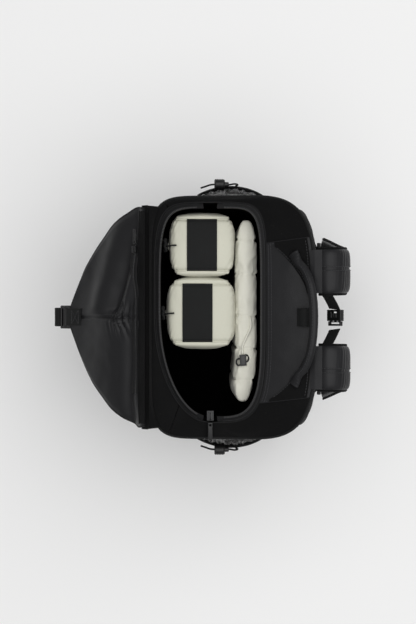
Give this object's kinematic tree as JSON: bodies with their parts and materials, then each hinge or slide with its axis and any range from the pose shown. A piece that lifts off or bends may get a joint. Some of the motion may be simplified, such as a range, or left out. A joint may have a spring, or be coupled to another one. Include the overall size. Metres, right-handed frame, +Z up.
{
  "type": "backpack",
  "caption": "Flap-top backpack standing open, its hood folded forward, with harness, grab handle, side pockets and lift-out slim zipped inserts.",
  "frame": {"origin": "middle of the flat underside of the base, on the surface the bag stands on", "axes": "+Z up; -Y the front, towards which the hood is folded; +Y the back, with the harness; +X the end of the mouth where the main zip slider is parked"},
  "size_m": [0.3906, 0.3993, 0.4562],
  "materials": {
    "coated_fabric": "smooth polyurethane-coated weave, satin",
    "canvas": "matte woven nylon",
    "air_mesh": "open knitted mesh over foam",
    "webbing": "ribbed woven tape",
    "zip_tape": "herringbone tape with a nylon coil",
    "black_plastic": "moulded acetal, fine grain",
    "slider_metal": "black lacquered zinc",
    "greige_fabric": "light coated ripstop",
    "ivory_fabric": "quilted padded cloth"
  },
  "bodies": {
    "casing": {"base_tray": "canvas", "front_wall": "coated_fabric", "side_wall_left": "coated_fabric", "side_wall_right": "coated_fabric", "back_wall": "canvas", "yoke_panel": "coated_fabric", "gusset_left": "canvas", "gusset_right": "canvas", "front_rim_panel": "canvas", "zip_tape_front": "zip_tape", "zip_tape_back": "zip_tape", "back_pad_right": "air_mesh", "back_pad_left": "air_mesh", "pocket_left": "air_mesh", "pocket_right": "air_mesh", "pocket_bungee_left": "webbing", "pocket_bungee_right": "webbing", "hood_root_strip": "canvas", "handle_patch_left": "canvas", "handle_patch_right": "canvas", "hook_keeper": "webbing", "lower_webbing_left": "webbing", "lower_webbing_right": "webbing", "anchor_tab_left": "canvas", "anchor_tab_right": "canvas"},
    "hood": {"hood_half_left": "coated_fabric", "hood_half_right": "coated_fabric", "hood_zip_tape": "zip_tape", "tip_tab": "webbing", "tip_ladder_lock": "black_plastic"},
    "closing_strap": {"closing_strap": "webbing", "closing_hook": "black_plastic"},
    "hood_slider": {"hood_slider": "slider_metal"},
    "hood_pull": {"hood_zip_pull": "webbing"},
    "handle": {"grab_handle": "coated_fabric"},
    "harness": {"shoulder_strap_left": "coated_fabric", "shoulder_strap_right": "coated_fabric", "strap_ladder_lock_left": "black_plastic", "strap_ladder_lock_right": "black_plastic", "chest_webbing_left": "webbing", "chest_buckle_female": "black_plastic"},
    "chest_clip": {"chest_webbing_right": "webbing", "chest_buckle_male": "black_plastic"},
    "cord_lock_left": {"cord_lock_body_left": "black_plastic"},
    "cord_lock_right": {"cord_lock_body_right": "black_plastic"},
    "cord_button_left": {"cord_lock_button_left": "black_plastic"},
    "cord_button_right": {"cord_lock_button_right": "black_plastic"},
    "main_slider": {"main_slider": "slider_metal"},
    "main_pull": {"main_zip_pull": "webbing"},
    "slim_box_1": {"slim_box_1_body": "greige_fabric", "slim_box_1_handle_band": "webbing", "slim_box_1_zip": "zip_tape"},
    "slim_box_1_slider": {"slim_box_1_slider": "black_plastic"},
    "slim_box_2": {"slim_box_2_body": "greige_fabric", "slim_box_2_handle_band": "webbing", "slim_box_2_zip": "zip_tape"},
    "slim_box_2_slider": {"slim_box_2_slider": "black_plastic"},
    "sleeve": {"sleeve_body": "ivory_fabric", "sleeve_cord": "ivory_fabric", "sleeve_cord_end": "black_plastic"}
  },
  "joints": [
    {"name": "hood_fold", "type": "hinge", "parent": "casing", "child": "hood", "pos_m": [0, -0.118, 0.41], "axis": [1, 0, 0], "range_deg": [-212, 0]},
    {"name": "closing_strap_swing", "type": "hinge", "parent": "hood", "child": "closing_strap", "pos_m": [0, -0.2419, 0.288], "axis": [1, 0, 0], "range_deg": [-45, 40]},
    {"name": "hood_zip", "type": "slide", "parent": "hood", "child": "hood_slider", "axis": [1, 0, 0], "range_m": [0, 0.18]},
    {"name": "hood_pull_flip", "type": "hinge", "parent": "hood_slider", "child": "hood_pull", "pos_m": [-0.0962, -0.1337, 0.40166], "axis": [0, 0.7071, 0.7071], "range_deg": [0, 105]},
    {"name": "handle_lift", "type": "hinge", "parent": "casing", "child": "handle", "pos_m": [0, 0.082, 0.4325], "axis": [1, 0, 0], "range_deg": [0, 100]},
    {"name": "harness_swing", "type": "hinge", "parent": "casing", "child": "harness", "pos_m": [0, 0.1085, 0.423], "axis": [1, 0, 0], "range_deg": [0, 12]},
    {"name": "chest_release", "type": "slide", "parent": "harness", "child": "chest_clip", "axis": [1, 0, 0], "range_m": [0, 0.014]},
    {"name": "cord_lock_left_slide", "type": "slide", "parent": "casing", "child": "cord_lock_left", "axis": [0, 1, 0], "range_m": [-0.015, 0]},
    {"name": "cord_lock_right_slide", "type": "slide", "parent": "casing", "child": "cord_lock_right", "axis": [0, 1, 0], "range_m": [-0.015, 0]},
    {"name": "cord_button_left_press", "type": "slide", "parent": "cord_lock_left", "child": "cord_button_left", "axis": [0, -1, 0], "range_m": [0, 0.004], "stiffness_N_per_m": 300, "springref_m": -0.002},
    {"name": "cord_button_right_press", "type": "slide", "parent": "cord_lock_right", "child": "cord_button_right", "axis": [0, -1, 0], "range_m": [0, 0.004], "stiffness_N_per_m": 300, "springref_m": -0.002},
    {"name": "main_zip", "type": "slide", "parent": "casing", "child": "main_slider", "axis": [1, 0, 0], "range_m": [-0.265, 0]},
    {"name": "main_pull_flip", "type": "hinge", "parent": "main_slider", "child": "main_pull", "pos_m": [0.1384, -0.033, 0.4098], "axis": [0, -1, 0], "range_deg": [0, 105]},
    {"name": "slim_box_1_lift", "type": "slide", "parent": "casing", "child": "slim_box_1", "axis": [0, 0, 1], "range_m": [0, 0.4]},
    {"name": "slim_box_1_zip_run", "type": "slide", "parent": "slim_box_1", "child": "slim_box_1_slider", "axis": [0, 0, -1], "range_m": [0, 0.28]},
    {"name": "slim_box_2_lift", "type": "slide", "parent": "casing", "child": "slim_box_2", "axis": [0, 0, 1], "range_m": [0, 0.4]},
    {"name": "slim_box_2_zip_run", "type": "slide", "parent": "slim_box_2", "child": "slim_box_2_slider", "axis": [0, 0, -1], "range_m": [0, 0.28]},
    {"name": "sleeve_lift", "type": "slide", "parent": "casing", "child": "sleeve", "axis": [0, 0, 1], "range_m": [0, 0.4]}
  ]
}
